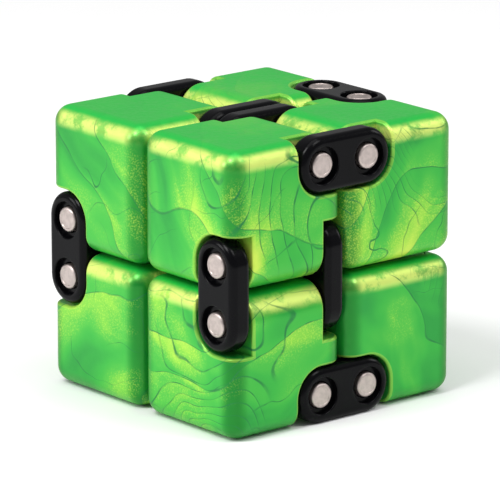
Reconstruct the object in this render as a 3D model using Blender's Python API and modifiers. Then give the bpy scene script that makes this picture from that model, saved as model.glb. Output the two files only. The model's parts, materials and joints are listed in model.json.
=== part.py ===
"""Folding fidget cube: eight hollow cubelets joined in a closed ring by eight double-pin hinges.

Frame: metres, +X right, +Y back, +Z up. The origin is under the centre of the closed cube, on the
plane that it stands on. A cubelet is named by its corner: upper or lower, front or back, left or right.
Every hinge is the same: two link plates, one at each end of the hinge edge, on two steel pins, one
through each cubelet. Both pins sit one PIN_INSET from the two faces that meet at the hinge edge, so
the cubelets roll round each other and lie one GAP apart both when closed and when folded over.
"""

import math

import bmesh
import bpy
from mathutils import Matrix, Vector

MM = 0.001

# Driving dimensions
CUBE_WIDTH = 40.0 * MM  # closed cube, across the outer faces of the cubelets
GAP = 0.5 * MM  # between neighbouring cubelets
EDGE_RADIUS = 2.5 * MM  # plain edges of a cubelet
PIN_INSET = 3.85 * MM  # from a pin's axis to each of the two faces at its hinge edge
PIN_DIAMETER = 3.6 * MM
PIN_CHAMFER = 0.25 * MM
PIN_CLEARANCE = 0.06 * MM  # radial, in the cubelets and in the links
LINK_THICKNESS = 3.4 * MM
LINK_PROUD = 0.1 * MM  # how far a link stands out of the cubelet faces round it
LINK_EDGE = 0.9 * MM  # rounded rims of a link's two faces
RECESS_DIAMETER = 5.5 * MM  # dished recess round each pin end, in a link's outer face
RECESS_DEPTH = 0.8 * MM
PIN_END_DEPTH = 0.15 * MM  # pin end below the link's outer face
POCKET_CLEARANCE = 0.25 * MM  # round a link in its pocket
POCKET_FLOOR_GAP = 0.3 * MM  # under a link in its pocket
POCKET_WALL = 1.2 * MM  # between a pocket and the hollow inside
SHELL_WALL = 2.2 * MM  # the wall opposite the cover
COVER_LAND = 0.2 * MM  # flat shell face between a cover and the rounded edges
COVER_THICKNESS = 1.6 * MM
COVER_CLEARANCE = 0.12 * MM
COVER_CORNER = 1.0 * MM
LEDGE = 0.5 * MM  # the step in the shell that the cover lies on

# Worked out from them
CUBELET = CUBE_WIDTH / 2 - GAP / 2
HALF = CUBELET / 2
HINGE_RADIUS = PIN_INSET  # the hinge edge is rounded about the pin's own axis
PIN_FROM_CENTRE = HALF - PIN_INSET
PIN_SPACING = 2 * PIN_INSET + GAP
PIN_RADIUS = PIN_DIAMETER / 2
BORE_RADIUS = PIN_RADIUS + PIN_CLEARANCE
LINK_END_RADIUS = PIN_INSET + LINK_PROUD
POCKET_REACH = LINK_END_RADIUS + POCKET_CLEARANCE
POCKET_DEPTH = LINK_THICKNESS - LINK_PROUD + POCKET_FLOOR_GAP
COVER_WIDTH = CUBELET - 2 * (EDGE_RADIUS + COVER_LAND)
PIN_LENGTH = CUBELET + 2 * (LINK_PROUD - PIN_END_DEPTH)
CUBELET_PITCH = CUBELET + GAP
CENTRE_HEIGHT = CUBE_WIDTH / 2 + LINK_PROUD
OVERRUN = 1.0 * MM  # how far a cutter runs past the face that it opens

# Facets
EDGE_SEGMENTS = 4
POCKET_SEGMENTS = 5
ROUND_SIDES = 16
LINK_END_SIDES = 9
RIM_SEGMENTS = 2

X, Y, Z = Vector((1, 0, 0)), Vector((0, 1, 0)), Vector((0, 0, 1))

# Corner of each cubelet, as the signs of its centre
CUBELETS = {
    "upper_front_left": (-1, -1, 1),
    "upper_front_right": (1, -1, 1),
    "upper_back_right": (1, 1, 1),
    "upper_back_left": (-1, 1, 1),
    "lower_back_left": (-1, 1, -1),
    "lower_back_right": (1, 1, -1),
    "lower_front_right": (1, -1, -1),
    "lower_front_left": (-1, -1, -1),
}

# The ring: hinge name, the two cubelets it joins, and the side of the closed cube that its edge opens to
HINGES = (
    ("upper_front", "upper_front_left", "upper_front_right", Z),
    ("upper_right", "upper_front_right", "upper_back_right", X),
    ("upper_back", "upper_back_right", "upper_back_left", Z),
    ("left_back", "upper_back_left", "lower_back_left", Y),
    ("lower_back", "lower_back_left", "lower_back_right", -Z),
    ("lower_right", "lower_back_right", "lower_front_right", X),
    ("lower_front", "lower_front_right", "lower_front_left", -Z),
    ("left_front", "lower_front_left", "upper_front_left", -Y),
)

# Material name, base colour, roughness, metallic
MATERIALS = {
    "green_plastic": ((0.10, 0.56, 0.12, 1.0), 0.28, 0.0),
    "black_plastic": ((0.012, 0.012, 0.014, 1.0), 0.32, 0.0),
    "steel": ((0.72, 0.68, 0.65, 1.0), 0.35, 1.0),
}


def material(name):
    """The named material, made on first use."""
    found = bpy.data.materials.get(name)
    if found:
        return found
    colour, roughness, metallic = MATERIALS[name]
    made = bpy.data.materials.new(name)
    made.use_nodes = True
    shader = made.node_tree.nodes["Principled BSDF"]
    shader.inputs["Base Color"].default_value = colour
    shader.inputs["Roughness"].default_value = roughness
    shader.inputs["Metallic"].default_value = metallic
    made.diffuse_color = colour
    return made


def clear_scene():
    for old in list(bpy.data.objects):
        bpy.data.objects.remove(old)


def new_collection(name):
    made = bpy.data.collections.new(name)
    bpy.context.scene.collection.children.link(made)
    return made


def mesh_from(bm, name):
    mesh = bpy.data.meshes.new(name)
    bm.to_mesh(mesh)
    bm.free()
    return mesh


def add_object(mesh, name, collection):
    made = bpy.data.objects.new(name, mesh)
    collection.objects.link(made)
    return made


def frame_of(first, second, third):
    """A rotation whose X, Y and Z point along three square directions, the first two swapped if need be."""
    if first.cross(second).dot(third) < 0:
        first, second = second, first
    return Matrix((first, second, third)).transposed().to_4x4()


def box(low, high):
    """A bmesh box between two corners."""
    bm = bmesh.new()
    bmesh.ops.create_cube(bm, size=1.0)
    size = Vector(high) - Vector(low)
    centre = (Vector(high) + Vector(low)) / 2
    bmesh.ops.scale(bm, vec=size, verts=bm.verts)
    bmesh.ops.translate(bm, vec=centre, verts=bm.verts)
    return bm


def rod(radius, length, sides):
    """A bmesh cylinder along Z, about the origin, with a flat side square to X."""
    bm = bmesh.new()
    turned = Matrix.Rotation(math.pi / sides, 4, "Z")
    bmesh.ops.create_cone(
        bm, cap_ends=True, segments=sides, radius1=radius, radius2=radius, depth=length, matrix=turned
    )
    return bm


def cut(body, cutters):
    """Boolean modifiers that take the cutters out of the body."""
    for cutter in cutters:
        modifier = body.modifiers.new("cut_" + cutter.name, "BOOLEAN")
        modifier.operation = "DIFFERENCE"
        modifier.solver = "EXACT"
        modifier.object = cutter


def baked(body):
    """The body's evaluated mesh, with its modifiers worked in."""
    bpy.context.view_layer.update()
    graph = bpy.context.evaluated_depsgraph_get()
    return bpy.data.meshes.new_from_object(body.evaluated_get(graph))


class Workshop:
    """Holds the cutters and half-made pieces, which aren't part of the object."""

    def __init__(self):
        self.collection = new_collection("cutters")

    def add(self, mesh, name):
        made = add_object(mesh, name, self.collection)
        made.hide_render = True
        made.display_type = "WIRE"
        return made


# A cubelet's own frame: its centre is the origin, the cover is its +Y face, its first pin runs along
# Y near the +X +Z edge, and its second pin runs along X near the -Y -Z edge.
FIRST_PIN = (X, Z, Y)
SECOND_PIN = (-Y, -Z, X)


def pin_frames(pin):
    """The frames of a pin's two ends: X and Y to the hinge edge's faces, Z out of that end."""
    to_gap, to_open, along = pin
    return [frame_of(to_gap, to_open, along * side) for side in (1, -1)]


def notch(reach, depth):
    """The space a link swings in at one end of a pin, as a box with its inner edge rounded about the pin."""
    low = (PIN_FROM_CENTRE - reach, PIN_FROM_CENTRE - reach, HALF - depth)
    outside = HALF + OVERRUN
    bm = box(low, (outside, outside, outside))
    middle = (low[0] + outside) / 2
    inner = [e for e in bm.edges if all(v.co.x < middle and v.co.y < middle for v in e.verts)]
    bmesh.ops.bevel(
        bm, geom=inner, offset=reach, segments=POCKET_SEGMENTS, profile=0.5, affect="EDGES", material=-1
    )
    return bm


def notches(workshop, name, reach, depth, frames):
    made = []
    for number, frame in enumerate(frames):
        bm = notch(reach, depth)
        bm.transform(frame)
        made.append(workshop.add(mesh_from(bm, name), f"{name}_{number}"))
    return made


def pin_rods(workshop, name, radius, length, sides):
    """A rod along each of a cubelet's two pins."""
    made = []
    for number, pin in enumerate((FIRST_PIN, SECOND_PIN)):
        bm = rod(radius, length, sides)
        bmesh.ops.translate(bm, vec=(PIN_FROM_CENTRE, PIN_FROM_CENTRE, 0), verts=bm.verts)
        bm.transform(pin_frames(pin)[0])
        made.append(workshop.add(mesh_from(bm, name), f"{name}_{number}"))
    return made


def cover_blank(width, low, high):
    """A square slab across Y with rounded corners, before it's notched round the pocket."""
    bm = box((-width / 2, low, -width / 2), (width / 2, high, width / 2))
    corners = [e for e in bm.edges if abs(e.verts[0].co.y - e.verts[1].co.y) > (high - low) / 2]
    bmesh.ops.bevel(
        bm, geom=corners, offset=COVER_CORNER, segments=3, profile=0.5, affect="EDGES", material=-1
    )
    return bm


def outer_block():
    """A cubelet's outside: every edge rounded, the two hinge edges about their pins' axes."""
    bm = bmesh.new()
    bmesh.ops.create_cube(bm, size=CUBELET)
    weights = bm.edges.layers.float.new("bevel_weight_edge")
    for edge in bm.edges:
        middle = (edge.verts[0].co + edge.verts[1].co) / 2
        on_hinge = any(
            (middle - HALF * (to_gap + to_open)).length < EDGE_RADIUS
            for to_gap, to_open, _ in (FIRST_PIN, SECOND_PIN)
        )
        edge[weights] = 1.0 if on_hinge else EDGE_RADIUS / HINGE_RADIUS
    return bm


def hollow(workshop):
    """What is taken out of the shell: the cover's seat, then the hollow behind it."""
    pocket_end = pin_frames(FIRST_PIN)[:1]
    every_end = pin_frames(FIRST_PIN) + pin_frames(SECOND_PIN)
    seat_floor = HALF - COVER_THICKNESS - COVER_CLEARANCE
    seat = workshop.add(
        mesh_from(cover_blank(COVER_WIDTH + 2 * COVER_CLEARANCE, seat_floor, HALF + OVERRUN), "seat"), "seat"
    )
    seat_block = notches(workshop, "seat_block", POCKET_REACH + POCKET_WALL, CUBELET, pocket_end)
    cut(seat, seat_block)
    width = COVER_WIDTH - 2 * LEDGE
    inside = workshop.add(mesh_from(cover_blank(width, -HALF + SHELL_WALL, HALF), "inside"), "inside")
    blocks = notches(
        workshop, "block", POCKET_REACH + POCKET_WALL + LEDGE, POCKET_DEPTH + POCKET_WALL, every_end
    )
    bosses = pin_rods(workshop, "boss", HINGE_RADIUS, 2 * CUBELET, ROUND_SIDES)
    cut(inside, blocks + bosses)
    return [seat, inside]


def shell_mesh(workshop):
    """A right-hand shell: rounded block, hollow, four link pockets and two pin bores."""
    shell = workshop.add(mesh_from(outer_block(), "shell"), "shell")
    bevel = shell.modifiers.new("rounded_edges", "BEVEL")
    bevel.limit_method = "WEIGHT"
    bevel.width = HINGE_RADIUS
    bevel.segments = EDGE_SEGMENTS
    shell.modifiers.new("flat_faces", "TRIANGULATE")
    every_end = pin_frames(FIRST_PIN) + pin_frames(SECOND_PIN)
    pockets = notches(workshop, "pocket", POCKET_REACH, POCKET_DEPTH, every_end)
    bores = pin_rods(workshop, "bore", BORE_RADIUS, 2 * CUBELET, ROUND_SIDES)
    cut(shell, hollow(workshop) + pockets + bores)
    return baked(shell)


def cover_mesh(workshop):
    """A right-hand cover: a thin plate notched round the link pocket at its corner."""
    bm = cover_blank(COVER_WIDTH, HALF - COVER_THICKNESS, HALF)
    cover = workshop.add(mesh_from(bm, "cover"), "cover")
    reach = POCKET_REACH + POCKET_WALL + COVER_CLEARANCE
    cut(cover, notches(workshop, "cover_notch", reach, CUBELET, pin_frames(FIRST_PIN)[:1]))
    return baked(cover)


def link_mesh(workshop):
    """A link plate: X from pin to pin, Z out of its face, its face at Z = 0."""
    bm = bmesh.new()
    bmesh.ops.create_circle(bm, cap_ends=True, segments=2 * LINK_END_SIDES, radius=LINK_END_RADIUS)
    for vert in bm.verts:
        near_middle = abs(vert.co.x) < LINK_END_RADIUS / (2 * LINK_END_SIDES)
        side = 0 if near_middle else math.copysign(1, vert.co.x)
        vert.co.x += side * PIN_SPACING / 2
    rim = bmesh.ops.extrude_face_region(bm, geom=bm.faces[:])
    lowered = [part for part in rim["geom"] if isinstance(part, bmesh.types.BMVert)]
    bmesh.ops.translate(bm, vec=(0, 0, -LINK_THICKNESS), verts=lowered)
    bmesh.ops.recalc_face_normals(bm, faces=bm.faces)
    rims = [e for e in bm.edges if abs(e.verts[0].co.z - e.verts[1].co.z) < LINK_THICKNESS / 2]
    bmesh.ops.bevel(
        bm, geom=rims, offset=LINK_EDGE, segments=RIM_SEGMENTS, profile=0.5, affect="EDGES", material=-1
    )
    link = workshop.add(mesh_from(bm, "link"), "link")
    cutters = []
    for side in (-1, 1):
        for name, radius, depth in (
            ("link_bore", BORE_RADIUS, LINK_THICKNESS + OVERRUN),
            ("link_recess", RECESS_DIAMETER / 2, RECESS_DEPTH),
        ):
            hole = rod(radius, depth + OVERRUN, ROUND_SIDES)
            centre = (side * PIN_SPACING / 2, 0, (OVERRUN - depth) / 2)
            bmesh.ops.translate(hole, vec=centre, verts=hole.verts)
            cutters.append(workshop.add(mesh_from(hole, name), f"{name}_{side}"))
    cut(link, cutters)
    return baked(link)


def pin_mesh():
    """A plain steel pin along Z with chamfered ends."""
    bm = rod(PIN_RADIUS, PIN_LENGTH, ROUND_SIDES)
    ends = [e for e in bm.edges if abs(e.verts[0].co.z - e.verts[1].co.z) < PIN_CHAMFER]
    bmesh.ops.bevel(bm, geom=ends, offset=PIN_CHAMFER, segments=1, profile=0.5, affect="EDGES", material=-1)
    return mesh_from(bm, "pin")


def mirrored(mesh):
    """The left-hand copy of a right-hand cubelet's piece."""
    made = mesh.copy()
    made.transform(Matrix.Scale(-1, 4, X))
    made.flip_normals()
    return made


def centre_of(cubelet):
    return Vector(CUBELETS[cubelet]) * CUBELET_PITCH / 2 + Z * CENTRE_HEIGHT


def across(first, second):
    """The unit direction from one cubelet to its neighbour."""
    return (centre_of(second) - centre_of(first)).normalized()


def hinges_of(cubelet):
    """The two hinges of a cubelet, each as its direction to the neighbour and its open side."""
    found = []
    for _, first, second, open_side in HINGES:
        if cubelet == first:
            found.append((across(first, second), open_side))
        elif cubelet == second:
            found.append((across(second, first), open_side))
    return found


def placement(cubelet):
    """Where a cubelet's own frame stands, and whether it's the right-hand kind.

    The cover lies on an inner face, square to one pin and away from the other pin's hinge edge.
    """
    centre = centre_of(cubelet)
    inwards = [-Vector(axis) * sign for axis, sign in zip((X, Y, Z), CUBELETS[cubelet])]
    first, second = hinges_of(cubelet)
    for cover_pin, other_pin in ((first, second), (second, first)):
        normal = cover_pin[0].cross(cover_pin[1])
        for side in (1, -1):
            if normal * side in inwards and -normal * side in other_pin:
                cover = normal * side
                up = next(d for d in cover_pin if -d in other_pin)
                right = next(d for d in cover_pin if d != up)
                right_handed = right.cross(cover).dot(up) > 0
                own_x = right if right_handed else -right
                turn = Matrix((own_x, cover, up)).transposed().to_4x4()
                return Matrix.Translation(centre) @ turn, right_handed
    raise ValueError(cubelet + " has no inner face for its cover")


def finish(piece, slot, smooth_angle):
    piece.data.materials.clear()
    piece.data.materials.append(material(slot))
    piece.data.shade_smooth()
    piece.data.set_sharp_from_angle(angle=math.radians(smooth_angle))


def add_cubelets(workshop, collection):
    right = {"shell": shell_mesh(workshop), "cover": cover_mesh(workshop)}
    left = {kind: mirrored(mesh) for kind, mesh in right.items()}
    for cubelet in CUBELETS:
        where, right_handed = placement(cubelet)
        for kind, mesh in (right if right_handed else left).items():
            piece = add_object(mesh, f"{kind}_{cubelet}", collection)
            piece.matrix_world = where
            finish(piece, "green_plastic", 25)


def side_name(hinge_direction):
    """The word for a direction, as used in pin names."""
    words = {"right": X, "left": -X, "back": Y, "front": -Y, "upper": Z, "lower": -Z}
    return next(word for word, direction in words.items() if direction == hinge_direction)


def add_hinges(workshop, collection):
    link, pin = link_mesh(workshop), pin_mesh()
    for name, first, second, open_side in HINGES:
        over = across(first, second)
        along = over.cross(open_side)
        edge = (centre_of(first) + centre_of(second)) / 2 + open_side * PIN_FROM_CENTRE
        outwards = along if along.dot(edge - Z * CENTRE_HEIGHT) > 0 else -along
        for end, out in (("outer", outwards), ("inner", -outwards)):
            plate = add_object(link, f"link_{name}_{end}", collection)
            face = edge + out * (HALF + LINK_PROUD)
            plate.matrix_world = Matrix.Translation(face) @ frame_of(over, open_side, out)
            if plate.matrix_world.to_3x3().col[0].dot(over) ** 2 < 0.5:
                plate.matrix_world = plate.matrix_world @ Matrix.Rotation(math.pi / 2, 4, "Z")
            finish(plate, "black_plastic", 30)
        for side in (-1, 1):
            piece = add_object(pin, f"pin_{name}_{side_name(over * side)}", collection)
            place = Matrix.Translation(edge + over * side * PIN_SPACING / 2)
            piece.matrix_world = place @ frame_of(over, open_side, outwards)
            finish(piece, "steel", 30)


def main():
    clear_scene()
    collection = new_collection("fidget_cube")
    workshop = Workshop()
    add_cubelets(workshop, collection)
    add_hinges(workshop, collection)


main()
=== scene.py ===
"""Looks for the folding fidget cube: marbled shells and covers, black links and turned steel pins.

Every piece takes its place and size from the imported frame, in metres: +X right, +Y back, +Z up.
"""

import json
import math

import bmesh
import bpy
from mathutils import Matrix, Vector


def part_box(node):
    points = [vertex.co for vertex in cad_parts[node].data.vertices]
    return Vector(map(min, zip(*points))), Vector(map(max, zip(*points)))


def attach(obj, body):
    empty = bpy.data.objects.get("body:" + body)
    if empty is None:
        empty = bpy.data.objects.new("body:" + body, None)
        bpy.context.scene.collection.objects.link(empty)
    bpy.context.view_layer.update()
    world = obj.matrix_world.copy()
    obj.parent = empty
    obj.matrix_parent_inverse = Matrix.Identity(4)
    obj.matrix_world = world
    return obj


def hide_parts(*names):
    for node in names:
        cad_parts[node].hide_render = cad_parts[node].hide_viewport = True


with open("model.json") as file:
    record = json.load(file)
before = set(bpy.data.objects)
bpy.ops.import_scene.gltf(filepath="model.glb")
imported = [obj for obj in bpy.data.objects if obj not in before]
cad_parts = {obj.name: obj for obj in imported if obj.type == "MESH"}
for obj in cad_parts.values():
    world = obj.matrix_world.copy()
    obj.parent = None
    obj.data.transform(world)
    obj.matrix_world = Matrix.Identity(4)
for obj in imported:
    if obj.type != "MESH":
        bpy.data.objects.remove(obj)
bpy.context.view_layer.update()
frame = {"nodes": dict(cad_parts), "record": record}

MM = 0.001
AXES = (Vector((1, 0, 0)), Vector((0, 1, 0)), Vector((0, 0, 1)))

# Cubelets
EDGE_RADIUS = 2.5 * MM  # plain edges; a hinge edge is rounded about its pin
POCKET_CLEARANCE = 0.25 * MM  # round a link in its pocket
POCKET_FLOOR_GAP = 0.3 * MM
BORE_CLEARANCE = 0.06 * MM
POCKET_WALL = 1.2 * MM
COVER_CLEARANCE = 0.12 * MM
COVER_CORNER = 1.0 * MM
POCKET_RIM = 0.4 * MM  # soft moulded rim of a pocket
COVER_RIM = 0.12 * MM
EDGE_SEGMENTS = 12
POCKET_SEGMENTS = 16
COVER_CORNER_SEGMENTS = 8
RIM_SEGMENTS = 3
COVER_RIM_SEGMENTS = 2

# Links
LINK_ROUND = 1.0 * MM  # both faces' rims
LINK_ROUND_SEGMENTS = 7
LINK_END_SIDES = 28
RECESS_RADIUS = 2.6 * MM
RECESS_DEPTH = 0.8 * MM
RECESS_RIM = 0.18 * MM

# Pins
PIN_SIDES = 64
PIN_CHAMFER = 0.34 * MM
PIN_CHAMFER_SEGMENTS = 3
PIN_DISH_RADIUS = 1.3 * MM
PIN_DISH_DEPTH = 0.07 * MM

# Mesh work
OVERRUN = 1.0 * MM  # how far a cutter runs past the face that it opens
MERGE_DISTANCE = 0.001 * MM
FLAT_ANGLE = math.radians(0.5)  # faces closer than this to one plane are joined up
SHARP_ANGLE = math.radians(40)  # between two faces that don't shade into each other
PARALLEL = 0.99  # the least cosine between two lines that run the same way

# Camera and studio
CAMERA_AZIMUTH = -39.92
CAMERA_ELEVATION = 15.0
CAMERA_DISTANCE = 0.656
CAMERA_LENS = 340.3  # millimetres, like the sensor
CAMERA_SENSOR = 36
CAMERA_AIM = Vector((-0.7, -0.52, 19.95)) * MM
FLOOR_WIDTH = 4.0
SOFTBOXES = (  # name, azimuth, elevation, distance, width, watts
    ("overhead", 0, 88, 0.8, 0.6, 1.9),
    ("high_left", -85, 54, 0.7, 0.26, 2.9),
    ("high_right", 22, 54, 0.7, 0.26, 1.35),
    ("left", -118, 22, 0.7, 0.25, 1.5),
    ("right", 68, 26, 0.7, 0.25, 0.75),
)
ROOM_LIGHT = 0.34


# ---------------------------------------------------------------------------
# The frame's sizes
# ---------------------------------------------------------------------------


def middle(node):
    low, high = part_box(node)
    return (Vector(low) + Vector(high)) / 2


def extent(node):
    low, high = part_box(node)
    return Vector(high) - Vector(low)


def by_length(node):
    """The three axis numbers of a node's box, shortest side first."""
    sides = extent(node)
    return sorted(range(3), key=lambda axis: sides[axis])


def thin_axis(node):
    return by_length(node)[0]


def long_axis(node):
    return by_length(node)[2]


def names_of(kind):
    return sorted(name for name in frame["nodes"] if name.startswith(kind + "_"))


SHELLS = names_of("shell")
LINKS = names_of("link")
PINS = names_of("pin")
HALF = extent(SHELLS[0])[0] / 2  # of a cubelet, which is a cube
PIN_RADIUS = min(extent(PINS[0])) / 2


def body_of(node):
    return next(body for body, nodes in frame["record"]["behaviour"]["bodies"].items() if node in nodes)


def towards(vector, axis):
    """The unit direction along an axis that a vector leans to."""
    return AXES[axis] * math.copysign(1, vector[axis])


def square_to(axis):
    """The directions of the two other axes."""
    return [AXES[other] for other in range(3) if other != axis]


def pins_of(shell):
    """The two pins that a shell turns on, each as its name and its axis number."""
    centre = middle(shell)
    inside = [pin for pin in PINS if max(abs(c) for c in middle(pin) - centre) < HALF]
    return [(pin, long_axis(pin)) for pin in inside]


def cover_of(shell):
    return shell.replace("shell_", "cover_")


def nearest_shell(node):
    return min(SHELLS, key=lambda shell: (middle(shell) - middle(node)).length)


# ---------------------------------------------------------------------------
# Mesh work
# ---------------------------------------------------------------------------


def placed(first, second, third, where):
    """A transform to three square directions and a place, the first two swapped if left-handed."""
    if first.cross(second).dot(third) < 0:
        first, second = second, first
    turn = Matrix((first, second, third)).transposed().to_4x4()
    return Matrix.Translation(where) @ turn


def box(low, high):
    low, high = Vector(low), Vector(high)
    bm = bmesh.new()
    bmesh.ops.create_cube(bm, size=1.0)
    bmesh.ops.scale(bm, vec=high - low, verts=bm.verts)
    bmesh.ops.translate(bm, vec=(low + high) / 2, verts=bm.verts)
    return bm


def rod(radius, length, sides):
    bm = bmesh.new()
    bmesh.ops.create_cone(bm, cap_ends=True, segments=sides, radius1=radius, radius2=radius, depth=length)
    return bm


def soften(bm, edges, width, segments):
    """Rounds the edges and gives the faces of the rounding."""
    return bmesh.ops.bevel(
        bm,
        geom=edges,
        offset=width,
        segments=segments,
        profile=0.5,
        affect="EDGES",
        material=-1,
        clamp_overlap=False,
    )["faces"]


def to_object(bm, name):
    mesh = bpy.data.meshes.new(name)
    bm.to_mesh(mesh)
    bm.free()
    made = bpy.data.objects.new(name, mesh)
    bpy.context.scene.collection.objects.link(made)
    return made


def evaluated(made):
    """The object's mesh with its modifiers worked in."""
    bpy.context.view_layer.update()
    graph = bpy.context.evaluated_depsgraph_get()
    return bpy.data.meshes.new_from_object(made.evaluated_get(graph))


def discard(objects):
    for made in objects:
        mesh = made.data
        bpy.data.objects.remove(made)
        bpy.data.meshes.remove(mesh)


def carved(made, cutters):
    """The object less its cutters, with flat faces joined up again. All of them are used up."""
    made.modifiers.new("flat_faces", "TRIANGULATE")
    for cutter in cutters:
        modifier = made.modifiers.new(cutter.name, "BOOLEAN")
        modifier.operation = "DIFFERENCE"
        modifier.solver = "EXACT"
        modifier.object = cutter
    mesh = evaluated(made)
    discard([made] + cutters)
    bm = bmesh.new()
    bm.from_mesh(mesh)
    bpy.data.meshes.remove(mesh)
    bmesh.ops.remove_doubles(bm, verts=bm.verts, dist=MERGE_DISTANCE)
    bmesh.ops.dissolve_limit(bm, angle_limit=FLAT_ANGLE, verts=bm.verts, edges=bm.edges)
    return bm


def soften_rims(bm, width, segments=RIM_SEGMENTS):
    """Rounds every outward edge that the cutters left sharp, and marks the faces of the rounding."""
    rim = bm.faces.layers.float.new("rim")
    sharp = [e for e in bm.edges if e.is_manifold and e.is_convex and e.calc_face_angle() > SHARP_ANGLE]
    for face in soften(bm, sharp, width, segments):
        face[rim] = 1.0


def finish(bm, node, material):
    """A finished piece that stands for its CAD node and rides with it."""
    draft = to_object(bm, node)
    draft.data.shade_smooth()
    draft.data.set_sharp_from_angle(angle=SHARP_ANGLE)
    normals = draft.modifiers.new("normals", "WEIGHTED_NORMAL")
    normals.keep_sharp = True
    mesh = evaluated(draft)
    discard([draft])
    piece = bpy.data.objects.new("fine_" + node, mesh)
    bpy.context.scene.collection.objects.link(piece)
    mesh.materials.clear()
    mesh.materials.append(material)
    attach(piece, body_of(node))
    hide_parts(node)
    return piece


# ---------------------------------------------------------------------------
# Cubelets
# ---------------------------------------------------------------------------


def pin_offset(shell, pin, axis):
    """From a cubelet's centre to a pin's axis, square to it."""
    offset = middle(pin) - middle(shell)
    offset[axis] = 0
    return offset


def notch(reach, depth, pin_from_centre):
    """The room round a link at one end of a pin: X and Y to the hinge edge, Z out of the cubelet."""
    low = pin_from_centre - reach
    outside = HALF + OVERRUN
    bm = box((low, low, HALF - depth), (outside, outside, outside))
    half_way = (low + outside) / 2
    inner = [e for e in bm.edges if all(v.co.x < half_way and v.co.y < half_way for v in e.verts)]
    soften(bm, inner, reach, POCKET_SEGMENTS)
    return bm


def notches(shell, pin, axis, reach, depth):
    """The notches at both ends of a pin."""
    offset = pin_offset(shell, pin, axis)
    across = [towards(offset, other) for other in range(3) if other != axis]
    pin_from_centre = max(abs(c) for c in offset)
    made = []
    for side in (-1, 1):
        bm = notch(reach, depth, pin_from_centre)
        bm.transform(placed(*across, AXES[axis] * side, middle(shell)))
        made.append(to_object(bm, f"notch_{pin}_{side}"))
    return made


def rounded_block(shell):
    """A cubelet's outside, with its two hinge edges rounded about their pins."""
    centre = middle(shell)
    offsets = [pin_offset(shell, pin, axis) for pin, axis in pins_of(shell)]
    hinge_radius = HALF - max(abs(c) for c in offsets[0])
    bm = bmesh.new()
    bmesh.ops.create_cube(bm, size=2 * HALF)
    weights = bm.edges.layers.float.new("bevel_weight_edge")
    for edge in bm.edges:
        to_edge = (edge.verts[0].co + edge.verts[1].co).normalized()
        on_hinge = any(to_edge.dot(offset.normalized()) > PARALLEL for offset in offsets)
        edge[weights] = 1.0 if on_hinge else EDGE_RADIUS / hinge_radius
    bmesh.ops.translate(bm, vec=centre, verts=bm.verts)
    block = to_object(bm, "block_" + shell)
    bevel = block.modifiers.new("rounded_edges", "BEVEL")
    bevel.limit_method = "WEIGHT"
    bevel.width = hinge_radius
    bevel.segments = EDGE_SEGMENTS
    return block, hinge_radius


def cover_blank(cover, grown, outwards):
    """A cover's square plate with rounded corners, grown all round and on its inner and outer side."""
    low, high = (Vector(corner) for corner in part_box(cover))
    normal_axis = thin_axis(cover)
    thickness = extent(cover)[normal_axis]
    out = middle(cover) - middle(nearest_shell(cover))
    below, above = Vector((grown,) * 3), Vector((grown,) * 3)
    outer = above if out[normal_axis] > 0 else below
    outer[normal_axis] = outwards
    bm = box(low - below, high + above)
    corners = [e for e in bm.edges if abs((e.verts[0].co - e.verts[1].co)[normal_axis]) > thickness / 2]
    soften(bm, corners, COVER_CORNER, COVER_CORNER_SEGMENTS)
    return bm


def cover_corner_notch(cover, reach):
    """What the cover leaves clear round the link pocket at its corner."""
    shell = nearest_shell(cover)
    normal_axis = thin_axis(cover)
    pin = next(pin for pin, axis in pins_of(shell) if axis == normal_axis)
    lower, upper = notches(shell, pin, normal_axis, reach, 2 * HALF - OVERRUN)
    out = middle(cover) - middle(shell)
    kept, other = (upper, lower) if out[normal_axis] > 0 else (lower, upper)
    discard([other])
    return kept


def link_thickness():
    return min(extent(LINKS[0]))


def link_end_radius():
    return extent(LINKS[0])[by_length(LINKS[0])[1]] / 2


def make_shell(shell, material):
    block, hinge_radius = rounded_block(shell)
    proud = link_end_radius() - hinge_radius
    reach = link_end_radius() + POCKET_CLEARANCE
    depth = link_thickness() - proud + POCKET_FLOOR_GAP
    cutters = []
    for pin, axis in pins_of(shell):
        cutters += notches(shell, pin, axis, reach, depth)
        bore = rod(PIN_RADIUS + BORE_CLEARANCE, 2 * HALF + OVERRUN, PIN_SIDES)
        centre = middle(shell) + pin_offset(shell, pin, axis)
        bore.transform(placed(*square_to(axis), AXES[axis], centre))
        cutters.append(to_object(bore, "bore_" + pin))
    bm = carved(block, cutters)
    soften_rims(bm, POCKET_RIM)
    # The seat is cut last and stays sharp: the flat land round it is narrower than a soft rim
    cover = cover_of(shell)
    blank = to_object(cover_blank(cover, COVER_CLEARANCE, OVERRUN), "seat_blank")
    seat = to_object(carved(blank, [cover_corner_notch(cover, reach + POCKET_WALL)]), "seat_" + shell)
    bm = carved(to_object(bm, "pocketed_" + shell), [seat])
    return finish(bm, shell, material)


def make_cover(cover, material):
    reach = link_end_radius() + POCKET_CLEARANCE + POCKET_WALL + COVER_CLEARANCE
    blank = to_object(cover_blank(cover, 0, 0), cover + "_blank")
    bm = carved(blank, [cover_corner_notch(cover, reach)])
    soften_rims(bm, COVER_RIM, COVER_RIM_SEGMENTS)
    return finish(bm, cover, material)


# ---------------------------------------------------------------------------
# Links and pins
# ---------------------------------------------------------------------------


def link_place(link):
    """A link's own frame: X from pin to pin, Z out of its face, its face at Z = 0."""
    thin, _, long = by_length(link)
    out = towards(middle(link) - middle(nearest_shell(link)), thin)
    over = AXES[long]
    turn = Matrix((over, out.cross(over), out)).transposed().to_4x4()
    return Matrix.Translation(middle(link) + out * link_thickness() / 2) @ turn


def recess(radius, depth):
    """The cutter for a flat-bottomed recess whose mouth is at Z = 0."""
    bm = rod(radius, depth + OVERRUN, PIN_SIDES)
    bmesh.ops.translate(bm, vec=(0, 0, (OVERRUN - depth) / 2), verts=bm.verts)
    return bm


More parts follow.
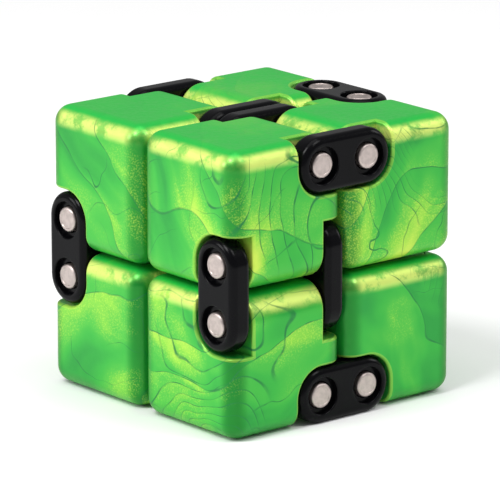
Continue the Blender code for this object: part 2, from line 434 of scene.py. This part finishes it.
def make_link(link, material):
    radius, thickness = link_end_radius(), link_thickness()
    spacing = extent(link)[long_axis(link)] - 2 * radius
    bm = rod(radius, thickness, 2 * LINK_END_SIDES)
    half_step = Matrix.Rotation(math.pi / (2 * LINK_END_SIDES), 4, "Z")
    bm.transform(Matrix.Translation((0, 0, -thickness / 2)) @ half_step)
    for vert in bm.verts:
        vert.co.x += math.copysign(spacing / 2, vert.co.x)
    rims = [e for e in bm.edges if abs(e.verts[0].co.z - e.verts[1].co.z) < thickness / 2]
    soften(bm, rims, LINK_ROUND, LINK_ROUND_SEGMENTS)
    cutters = []
    for side in (-1, 1):
        for label, hole_radius, depth in (
            ("recess", RECESS_RADIUS, RECESS_DEPTH),
            ("bore", PIN_RADIUS + BORE_CLEARANCE, thickness + OVERRUN),
        ):
            hole = recess(hole_radius, depth)
            bmesh.ops.translate(hole, vec=(side * spacing / 2, 0, 0), verts=hole.verts)
            cutters.append(to_object(hole, f"{label}_{side}"))
    bm = carved(to_object(bm, "plate"), cutters)
    soften_rims(bm, RECESS_RIM)
    bm.transform(link_place(link))
    return finish(bm, link, material)


def make_pin(pin, material):
    """A turned pin with a rounded chamfer and a shallow dish at each end.

    Each point is marked with its distance from the axis, in millimetres, for the turning rings.
    """
    long = long_axis(pin)
    half_length = max(extent(pin)) / 2
    bm = rod(PIN_RADIUS, 2 * half_length, PIN_SIDES)
    rims = [e for e in bm.edges if abs(e.verts[0].co.z - e.verts[1].co.z) < PIN_CHAMFER]
    soften(bm, rims, PIN_CHAMFER, PIN_CHAMFER_SEGMENTS)
    flat_radius = PIN_RADIUS - PIN_CHAMFER
    for end in [f for f in bm.faces if len(f.verts) == PIN_SIDES]:
        bmesh.ops.inset_individual(bm, faces=[end], thickness=flat_radius - PIN_DISH_RADIUS)
        bmesh.ops.inset_individual(bm, faces=[end], thickness=PIN_DISH_DEPTH)
        inwards = -math.copysign(PIN_DISH_DEPTH, end.calc_center_median().z)
        bmesh.ops.translate(bm, vec=(0, 0, inwards), verts=end.verts[:])
        bmesh.ops.poke(bm, faces=[end])
    turned = bm.verts.layers.float.new("from_axis")
    for vert in bm.verts:
        vert[turned] = math.hypot(vert.co.x, vert.co.y) / MM
    bm.transform(placed(*square_to(long), AXES[long], middle(pin)))
    return finish(bm, pin, material)


# ---------------------------------------------------------------------------
# Materials
# ---------------------------------------------------------------------------

DEEP_GREEN = (0.014, 0.320, 0.050, 1)
LEAF_GREEN = (0.032, 0.430, 0.055, 1)
BRIGHT_GREEN = (0.075, 0.510, 0.060, 1)
LIME = (0.240, 0.640, 0.060, 1)
YELLOW_LIME = (0.580, 0.780, 0.095, 1)
VEIN_GREEN = (0.008, 0.180, 0.050, 1)
CALM_GREEN = (0.016, 0.520, 0.070, 1)
# colour of the painted shade down the upright edges
EDGE_SHADE_GREEN = (0.004, 0.210, 0.024, 1)
# colour of the painted highlight under a cubelet's upper edges
RIM_HIGHLIGHT_LIME = (0.720, 0.880, 0.200, 1)
GOLD_SHEEN = (0.75, 1.0, 0.4, 1)
CLOUD_COLOURS = (
    (0.38, DEEP_GREEN),
    (0.50, LEAF_GREEN),
    (0.62, BRIGHT_GREEN),
    (0.71, LIME),
    (0.82, YELLOW_LIME),
)
LIME_SHARE = {  # how much more lime than the others a cubelet's print is
    "shell_lower_back_left": 0.035,
    "shell_lower_front_left": -0.03,
    "shell_upper_back_left": -0.01,
    "shell_upper_front_left": 0.022,
    "shell_upper_front_right": 0.015,
}
PRINT_SHIFT = (37.0, 19.0, 53.0)  # millimetres from one cubelet's stretch of the print to the next
PRINT_TURN = (0.7, 1.1, 0.4)  # radians
STREAK_STRETCH = (1.0, 0.4, 0.75)
BAND_LIGHT = 0.13  # how much lighter a band between two sweeping veins is along one side
FINE_BAND_LIGHT = 0.05  # and between two nested ones
HIGHLIGHT_BREAK = 0.6  # how much of the painted rim highlight an upright edge takes away
# how strongly a painted highlight lightens the faces of every rounded rim
RIM_PAINTED_HIGHLIGHT = 0.28

COLD_BLACK = (0.0012, 0.0012, 0.0017, 1)
SOFT_BLACK = (0.0030, 0.0030, 0.0040, 1)
DULL_STEEL = (0.46, 0.395, 0.37, 1)
BRIGHT_STEEL = (0.58, 0.50, 0.47, 1)
FLOOR_SHADE = (0.92, 0.92, 0.92, 1)
FLOOR_WHITE = (0.95, 0.95, 0.95, 1)


def add(tree, kind, inputs=None, **settings):
    """A shader node. An input is a socket to link or a value to set."""
    made = tree.nodes.new("ShaderNode" + kind)
    for key, value in settings.items():
        setattr(made, key, value)
    for key, value in (inputs or {}).items():
        if isinstance(value, bpy.types.NodeSocket):
            tree.links.new(value, made.inputs[key])
        else:
            made.inputs[key].default_value = value
    return made


def new_material(name):
    made = bpy.data.materials.new(name)
    made.use_nodes = True
    return made, made.node_tree, made.node_tree.nodes["Principled BSDF"]


def set_finish(shader, values):
    for name, value in values.items():
        shader.inputs[name].default_value = value


def link_finish(tree, shader, sockets):
    for name, socket in sockets.items():
        tree.links.new(socket, shader.inputs[name])


def noise(tree, vector, scale, detail=2.0, roughness=0.5, distortion=0.0, output="Fac"):
    fineness = {"Scale": scale, "Detail": detail, "Roughness": roughness}
    inputs = {"Vector": vector, "Distortion": distortion, **fineness}
    return add(tree, "TexNoise", inputs).outputs[output]


def between(tree, value, low, high, to_low=0.0, to_high=1.0):
    """A value eased from one range to another."""
    inputs = {"Value": value, "From Min": low, "From Max": high, "To Min": to_low, "To Max": to_high}
    return add(tree, "MapRange", inputs, interpolation_type="SMOOTHSTEP").outputs["Result"]


def calc(tree, operation, first, second=0.0):
    return add(tree, "Math", {0: first, 1: second}, operation=operation).outputs["Value"]


def plus(tree, first, second):
    return calc(tree, "ADD", first, second)


def times(tree, first, second):
    return calc(tree, "MULTIPLY", first, second)


def rest_of(tree, share):
    """What a share leaves of the whole."""
    return calc(tree, "SUBTRACT", 1.0, share)


def vector_calc(tree, operation, first, second=(0, 0, 0)):
    return add(tree, "VectorMath", {0: first, 1: second}, operation=operation).outputs[0]


def part_of(tree, vector, axis):
    return add(tree, "SeparateXYZ", {0: vector}).outputs[axis]


def mixed(tree, factor, first, second):
    """Two colours mixed."""
    inputs = {0: factor, 6: first, 7: second}
    return add(tree, "Mix", inputs, data_type="RGBA").outputs[2]


def ramp(tree, factor, stops):
    made = add(tree, "ValToRGB", {"Fac": factor})
    elements = made.color_ramp.elements
    elements.remove(elements[1])
    elements[0].position, elements[0].color = stops[0]
    for place, colour in stops[1:]:
        elements.new(place).color = colour
    return made.outputs["Color"]


def attribute(tree, name):
    return add(tree, "Attribute", attribute_name=name, attribute_type="GEOMETRY").outputs["Fac"]


def raised(tree, relief, strength, depth):
    """The surface's direction once the relief has raised it."""
    return add(tree, "Bump", {"Height": relief, "Strength": strength, "Distance": depth}).outputs["Normal"]


def in_millimetres(tree, shift=(0, 0, 0), turn=(0, 0, 0)):
    """Object coordinates in millimetres, moved and turned."""
    coordinates = add(tree, "TexCoord").outputs["Object"]
    inputs = {"Vector": coordinates, "Location": shift, "Rotation": turn, "Scale": (1 / MM,) * 3}
    return add(tree, "Mapping", inputs).outputs["Vector"]


def warped(tree, vector, scale, amount):
    """A vector pushed about by noise, by up to about half the amount."""
    push = noise(tree, vector, scale, output="Color")
    centred = vector_calc(tree, "SUBTRACT", push, (0.5, 0.5, 0.5))
    scaled = add(tree, "VectorMath", {0: centred, "Scale": amount}, operation="SCALE").outputs[0]
    return vector_calc(tree, "ADD", vector, scaled)


def contours(tree, field, count, width):
    """Thin lines where a field times a count is whole: the height, and how strongly the line shows."""
    height = times(tree, field, count)
    off_line = calc(tree, "PINGPONG", height, 0.5)
    return height, between(tree, off_line, 0.25 * width, width, 1.0, 0.0)


def drift(tree, vector, axis, slope, scale):
    """A field that climbs along one axis and is swayed by noise, so its contours run on and don't close."""
    climb = times(tree, part_of(tree, vector, axis), slope)
    return plus(tree, climb, noise(tree, vector, scale, detail=0.5, roughness=0.4))


def inside_face(radii):
    """From a cubelet's centre to a plane this many edge radii inside its face."""
    return HALF - radii * EDGE_RADIUS


def near_upright_edge(tree, local):
    """How close a point is to a cubelet's upright edges."""
    outwards = vector_calc(tree, "ABSOLUTE", local)
    least = calc(tree, "MINIMUM", part_of(tree, outwards, 0), part_of(tree, outwards, 1))
    return between(tree, least, inside_face(1.3), inside_face(0.45))


def nested_veins(tree, plain, flow):
    """Close rings of veins: their height, their lines and the patches where they are."""
    field = noise(tree, flow, scale=0.030, detail=1.0, roughness=0.4)
    height, line = contours(tree, field, count=42.0, width=0.075)
    where = between(tree, noise(tree, plain, scale=0.055, detail=1.0), 0.52, 0.60)
    return height, line, where


def sweeping_veins(tree, streaked):
    """Long veins that sweep over a cubelet: their height and their lines."""
    field = drift(tree, streaked, axis=0, slope=0.012, scale=0.035)
    return contours(tree, field, count=9.0, width=0.018)


def crossing_veins(tree, plain):
    """A few long veins that cross the others, in patches."""
    swayed = warped(tree, plain, scale=0.11, amount=6.0)
    field = drift(tree, swayed, axis=1, slope=0.016, scale=0.04)
    line = contours(tree, field, count=8.0, width=0.014)[1]
    where = between(tree, noise(tree, plain, scale=0.08, detail=1.0), 0.46, 0.54)
    return times(tree, line, where)


def soft_clouds(tree, flow, streaked, lime_share):
    clouds = noise(tree, streaked, scale=0.085, detail=3.0, roughness=0.5, distortion=0.6)
    patches = between(tree, noise(tree, flow, scale=0.04, detail=1.0), 0.35, 0.65, -0.09, 0.055)
    return plus(tree, clouds, plus(tree, patches, lime_share))


def painted_rim_highlight(tree, plain, height, upright):
    """Painted highlight: a thin streaky pale band under a cubelet's upper face, broken at its corners."""
    highlight_streaks = noise(tree, plain, scale=0.30, detail=6.0, roughness=0.68)
    above = between(tree, height, inside_face(1.25), inside_face(0.7))
    below = between(tree, height, inside_face(0.12), inside_face(0.42))
    rim = times(tree, times(tree, above, below), between(tree, highlight_streaks, 0.38, 0.54, 0.30, 0.98))
    return times(tree, rim, rest_of(tree, times(tree, upright, HIGHLIGHT_BREAK)))


def painted_edge_shade(tree, plain, upright, calm):
    """Painted shade: a deeper green down the upright edges, stronger in some stretches."""
    stretches = between(tree, noise(tree, plain, scale=0.04, detail=1.0), 0.35, 0.55, 1.0, 0.8)
    return times(tree, upright, times(tree, stretches, rest_of(tree, calm)))


def glitter(tree, plain, clouds, calm):
    """Fine specks where the print is light."""
    specks = between(tree, noise(tree, plain, scale=4.5, roughness=0.6), 0.48, 0.66, 0.0, 0.45)
    light = calc(tree, "SUBTRACT", between(tree, clouds, 0.54, 0.70), calm)
    return times(tree, specks, calc(tree, "MAXIMUM", light, 0.0))


def pearly_finish(tree, shader, plain):
    """A soft sheen with a fine grain on slightly uneven moulding."""
    grain = noise(tree, plain, scale=1.4, detail=3.0)
    sag = noise(tree, plain, scale=0.25, detail=1.0)
    relief = plus(tree, sag, times(tree, grain, 0.06))
    roughness = between(tree, grain, 0.3, 0.7, 0.30, 0.42)
    normal = raised(tree, relief, strength=0.5, depth=0.06 * MM)
    link_finish(tree, shader, {"Roughness": roughness, "Normal": normal})
    sheen = {"Metallic": 0.35, "Specular IOR Level": 0.38, "Specular Tint": GOLD_SHEEN}
    set_finish(shader, {**sheen, "Coat Weight": 0.15, "Coat Roughness": 0.2})


def marbled_plastic(name, number, centre, lime_share):
    """Pearly moulded plastic with a marbled print: soft clouds, sweeping veins and a little glitter."""
    material, tree, shader = new_material(name)
    shift = [step * number for step in PRINT_SHIFT]
    turn = [step * number for step in PRINT_TURN]
    plain = in_millimetres(tree, shift, turn)
    flow = warped(tree, plain, scale=0.06, amount=10.0)
    streaked = vector_calc(tree, "MULTIPLY", flow, STREAK_STRETCH)

    # Clouds, with each band between two veins lighter along one side
    nested_height, nested, nested_where = nested_veins(tree, plain, flow)
    sweeping_height, sweeping = sweeping_veins(tree, streaked)
    bands = times(tree, calc(tree, "FRACT", sweeping_height), BAND_LIGHT)
    fine_bands = times(tree, calc(tree, "FRACT", nested_height), FINE_BAND_LIGHT)
    clouds = plus(tree, soft_clouds(tree, flow, streaked, lime_share), bands)
    clouds = plus(tree, clouds, times(tree, fine_bands, nested_where))
    colour = ramp(tree, clouds, CLOUD_COLOURS)

    # The print is calm on the upper face; a painted highlight runs pale under its upper edges and painted
    # shade runs deep green down the upright edges
    coordinates = add(tree, "TexCoord").outputs["Object"]
    local = vector_calc(tree, "SUBTRACT", coordinates, centre)
    height = part_of(tree, local, 2)
    upright = near_upright_edge(tree, local)
    calm = between(tree, height, inside_face(0.8), inside_face(0.1), 0.0, 0.9)
    colour = mixed(tree, calm, colour, CALM_GREEN)
    colour = mixed(tree, painted_rim_highlight(tree, plain, height, upright), colour, RIM_HIGHLIGHT_LIME)
    colour = mixed(tree, painted_edge_shade(tree, plain, upright, calm), colour, EDGE_SHADE_GREEN)
    # Painted highlight on the rounded rims of pockets and covers
    colour = mixed(tree, times(tree, attribute(tree, "rim"), RIM_PAINTED_HIGHLIGHT), colour, YELLOW_LIME)
    colour = mixed(tree, glitter(tree, plain, clouds, calm), colour, YELLOW_LIME)

    veins = calc(tree, "MAXIMUM", times(tree, nested, nested_where), sweeping)
    veins = calc(tree, "MAXIMUM", veins, crossing_veins(tree, plain))
    strength = between(tree, noise(tree, plain, scale=0.4), 0.35, 0.65, 0.35, 0.95)
    strength = times(tree, strength, rest_of(tree, calm))
    colour = mixed(tree, times(tree, veins, strength), colour, VEIN_GREEN)
    link_finish(tree, shader, {"Base Color": colour})
    pearly_finish(tree, shader, plain)
    return material


def black_plastic():
    """Satin black moulding with a faint grain."""
    material, tree, shader = new_material("satin_black_plastic")
    plain = in_millimetres(tree)
    grain = noise(tree, plain, scale=2.6, detail=4.0, roughness=0.6)
    colour = mixed(tree, noise(tree, plain, scale=0.3), COLD_BLACK, SOFT_BLACK)
    roughness = between(tree, grain, 0.3, 0.7, 0.16, 0.24)
    normal = raised(tree, grain, strength=0.25, depth=0.02 * MM)
    link_finish(tree, shader, {"Base Color": colour, "Roughness": roughness, "Normal": normal})
    set_finish(shader, {"Specular IOR Level": 0.09})
    return material


def turned_steel():
    """Bright steel with turning rings, dulled in patches."""
    material, tree, shader = new_material("turned_steel")
    plain = in_millimetres(tree)
    ring_inputs = {"W": attribute(tree, "from_axis"), "Scale": 7.0, "Detail": 3.0, "Roughness": 0.6}
    rings = add(tree, "TexNoise", ring_inputs, noise_dimensions="1D").outputs["Fac"]
    patches = noise(tree, plain, scale=1.1, detail=4.0, roughness=0.6)
    colour = mixed(tree, between(tree, patches, 0.35, 0.65), DULL_STEEL, BRIGHT_STEEL)
    roughness = between(tree, patches, 0.3, 0.7, 0.34, 0.5)
    relief = plus(tree, rings, times(tree, patches, 0.6))
    normal = raised(tree, relief, strength=0.4, depth=0.05 * MM)
    link_finish(tree, shader, {"Base Color": colour, "Roughness": roughness, "Normal": normal})
    set_finish(shader, {"Metallic": 0.9})
    return material


def studio_floor():
    material, tree, shader = new_material("pale_floor")
    tone = noise(tree, in_millimetres(tree), scale=0.02)
    link_finish(tree, shader, {"Base Color": mixed(tree, tone, FLOOR_SHADE, FLOOR_WHITE)})
    set_finish(shader, {"Roughness": 0.8})
    return material


# ---------------------------------------------------------------------------
# Studio
# ---------------------------------------------------------------------------


def from_angles(azimuth, elevation):
    """The unit direction out to an azimuth (0 is the front, +90 the right) and an elevation."""
    a, e = math.radians(azimuth), math.radians(elevation)
    return Vector((math.sin(a) * math.cos(e), -math.cos(a) * math.cos(e), math.sin(e)))


def add_camera():
    data = bpy.data.cameras.new("camera")
    data.sensor_width = CAMERA_SENSOR
    data.lens = CAMERA_LENS
    data.clip_start = 0.01
    data.clip_end = 100
    camera = bpy.data.objects.new("camera", data)
    bpy.context.scene.collection.objects.link(camera)
    back = from_angles(CAMERA_AZIMUTH, CAMERA_ELEVATION)
    camera.rotation_mode = "QUATERNION"
    camera.location = CAMERA_AIM + back * CAMERA_DISTANCE
    camera.rotation_quaternion = (-back).to_track_quat("-Z", "Y")
    bpy.context.scene.camera = camera


def add_softbox(name, azimuth, elevation, distance, width, watts):
    data = bpy.data.lights.new(name, "AREA")
    data.shape = "SQUARE"
    data.size = width
    data.energy = watts
    light = bpy.data.objects.new(name, data)
    bpy.context.scene.collection.objects.link(light)
    out = from_angles(azimuth, elevation)
    light.location = CAMERA_AIM + out * distance
    light.rotation_mode = "QUATERNION"
    light.rotation_quaternion = (-out).to_track_quat("-Z", "Y")


def add_studio():
    bm = bmesh.new()
    bmesh.ops.create_grid(bm, x_segments=4, y_segments=4, size=FLOOR_WIDTH / 2)
    floor = to_object(bm, "floor")
    floor.data.materials.append(studio_floor())
    for softbox in SOFTBOXES:
        add_softbox(*softbox)
    world = bpy.data.worlds.new("studio")
    world.use_nodes = True
    background = world.node_tree.nodes["Background"]
    background.inputs["Color"].default_value = (1, 1, 1, 1)
    background.inputs["Strength"].default_value = ROOM_LIGHT
    bpy.context.scene.world = world
    bpy.context.scene.view_settings.view_transform = "Standard"


def main():
    add_camera()
    for number, shell in enumerate(SHELLS, start=1):
        finish_name = shell.replace("shell_", "marbled_")
        marbled = marbled_plastic(finish_name, number, middle(shell), LIME_SHARE.get(shell, 0.0))
        make_shell(shell, marbled)
        make_cover(cover_of(shell), marbled)
    black = black_plastic()
    for link in LINKS:
        make_link(link, black)
    steel = turned_steel()
    for pin in PINS:
        make_pin(pin, steel)
    add_studio()


main()
